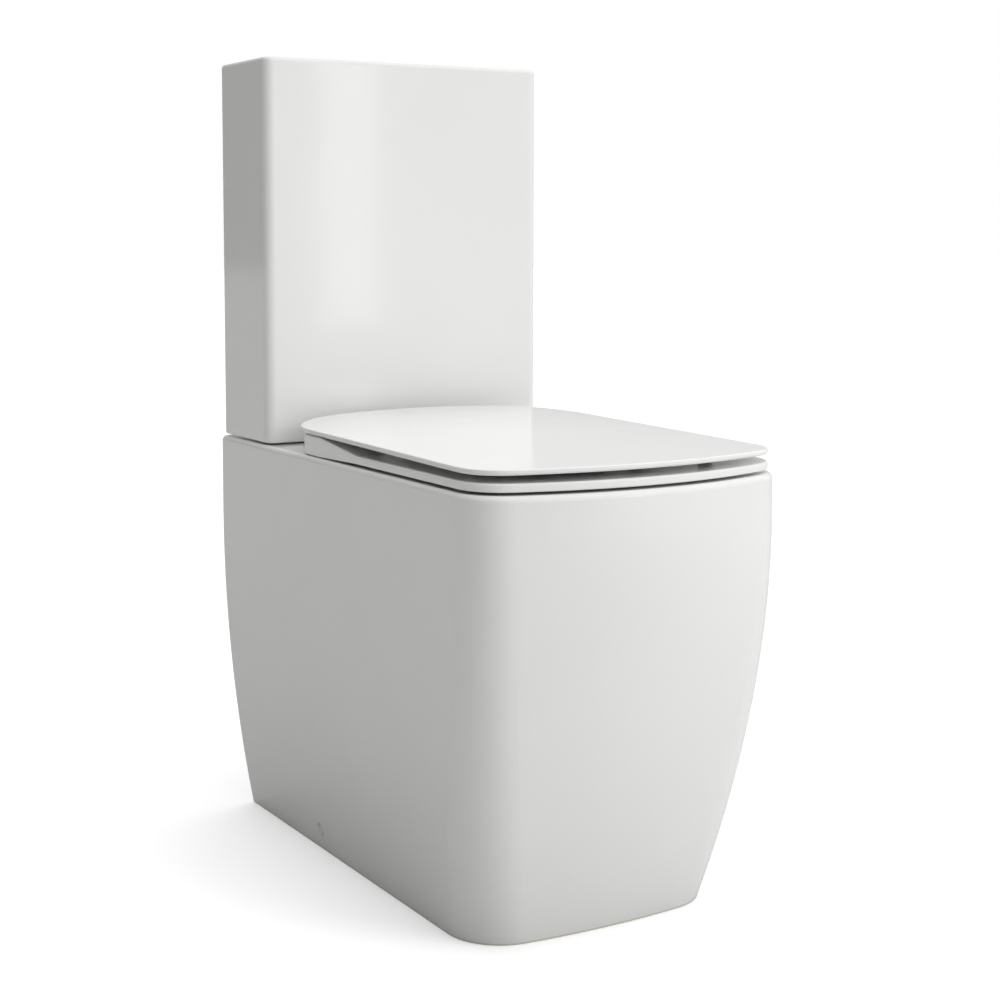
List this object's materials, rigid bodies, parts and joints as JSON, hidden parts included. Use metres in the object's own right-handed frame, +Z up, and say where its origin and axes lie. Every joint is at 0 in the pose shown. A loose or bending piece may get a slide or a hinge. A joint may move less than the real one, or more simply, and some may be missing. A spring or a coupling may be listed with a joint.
{
  "type": "close coupled toilet",
  "caption": "Close coupled toilet with a fully skirted, squared-off pan, a slim upright cistern bolted to its ledge, and a thin soft close seat and cover.",
  "frame": {"origin": "on the floor, under the middle of the whole toilet's bounding box", "axes": "+Z up; the wall is on the +Y side, the user on the -Y side; +X is to the right of someone facing the toilet"},
  "size_m": [0.3522, 0.6103, 0.8613],
  "materials": {
    "china": "glossy white glaze on vitreous china",
    "seat_plastic": "glossy moulded urea",
    "chrome": "bright plated",
    "steel": "satin stainless",
    "rubber": "matt black",
    "buffer_rubber": "matt white",
    "white_plastic": "moulded",
    "dark_plastic": "moulded",
    "blue_plastic": "moulded"
  },
  "bodies": {
    "root": {"pan": "china", "cistern": "china", "hinge_posts": "steel", "hinge_base_plates": "steel", "hinge_pins": "steel", "hinge_studs": "steel", "coupling_bolts": "steel", "coupling_steel_washers": "steel", "side_fixing_screws": "steel", "side_fixing_nuts": "steel", "flush_lever_pin": "steel", "float_arm_pin": "steel", "doughnut_gasket": "rubber", "coupling_rubber_washers": "rubber", "flush_valve_washer": "rubber", "fill_valve_washer": "rubber", "hinge_rubber_washers": "rubber", "flush_valve_housing": "white_plastic", "fill_valve_body": "white_plastic", "side_fixing_caps": "white_plastic", "floor_brackets": "white_plastic", "coupling_wing_nuts": "white_plastic", "hinge_wing_nuts": "white_plastic", "flush_valve_backnut": "white_plastic", "fill_valve_backnut": "white_plastic", "fill_valve_cap": "dark_plastic"},
    "seat_ring": {"seat_ring": "seat_plastic", "seat_ring_buffers": "buffer_rubber", "seat_ring_bushes": "white_plastic"},
    "seat_cover": {"seat_cover": "seat_plastic", "seat_cover_buffers": "buffer_rubber", "soft_close_dampers": "dark_plastic"},
    "cistern_lid": {"cistern_lid": "china", "button_bezel": "chrome", "button_bezel_nut": "white_plastic", "full_button_spring": "steel", "half_button_spring": "steel"},
    "full_flush_button": {"full_flush_button": "chrome"},
    "half_flush_button": {"half_flush_button": "chrome"},
    "flush_lift_tube": {"flush_lift_tube": "white_plastic", "flush_seal": "rubber"},
    "full_flush_lever": {"full_flush_lever": "blue_plastic"},
    "half_flush_lever": {"half_flush_lever": "blue_plastic"},
    "float_arm": {"float_arm": "white_plastic", "float_cup": "dark_plastic"}
  },
  "joints": [
    {"name": "seat_ring_hinge", "type": "hinge", "parent": "root", "child": "seat_ring", "pos_m": [0, 0.147, 0.453], "axis": [-1, 0, 0], "range_deg": [0, 93]},
    {"name": "seat_cover_hinge", "type": "hinge", "parent": "root", "child": "seat_cover", "pos_m": [0, 0.147, 0.453], "axis": [-1, 0, 0], "range_deg": [0, 93]},
    {"name": "cistern_lid_lift", "type": "slide", "parent": "root", "child": "cistern_lid", "axis": [0, 0, 1], "range_m": [0, 0.06]},
    {"name": "full_button_press", "type": "slide", "parent": "cistern_lid", "child": "full_flush_button", "axis": [0, 0, -1], "range_m": [0, 0.006], "stiffness_N_per_m": 500, "springref_m": -0.004, "deforming": ["full_button_spring"]},
    {"name": "half_button_press", "type": "slide", "parent": "cistern_lid", "child": "half_flush_button", "axis": [0, 0, -1], "range_m": [0, 0.006], "stiffness_N_per_m": 500, "springref_m": -0.004, "deforming": ["half_button_spring"]},
    {"name": "flush_lift", "type": "slide", "parent": "root", "child": "flush_lift_tube", "axis": [0, 0, 1], "range_m": [0, 0.0121]},
    {"name": "full_lever_rock", "type": "hinge", "parent": "root", "child": "full_flush_lever", "pos_m": [0.001, 0.236, 0.796], "axis": [0, -1, 0], "range_deg": [0, 37]},
    {"name": "half_lever_rock", "type": "hinge", "parent": "root", "child": "half_flush_lever", "pos_m": [0.001, 0.25, 0.796], "axis": [0, 1, 0], "range_deg": [0, 33.2]},
    {"name": "float_arm_hinge", "type": "hinge", "parent": "root", "child": "float_arm", "pos_m": [-0.088, 0.243, 0.76], "axis": [0, 1, 0], "range_deg": [0, 12]}
  ],
  "couplings": [
    {"joint": "seat_cover_hinge", "follows": "seat_ring_hinge", "ratio": 1},
    {"joint": "flush_lift", "follows": "full_button_press", "ratio": 2},
    {"joint": "full_lever_rock", "follows": "full_button_press", "rad_per_m": 107.25},
    {"joint": "half_lever_rock", "follows": "half_button_press", "rad_per_m": 96.15}
  ]
}
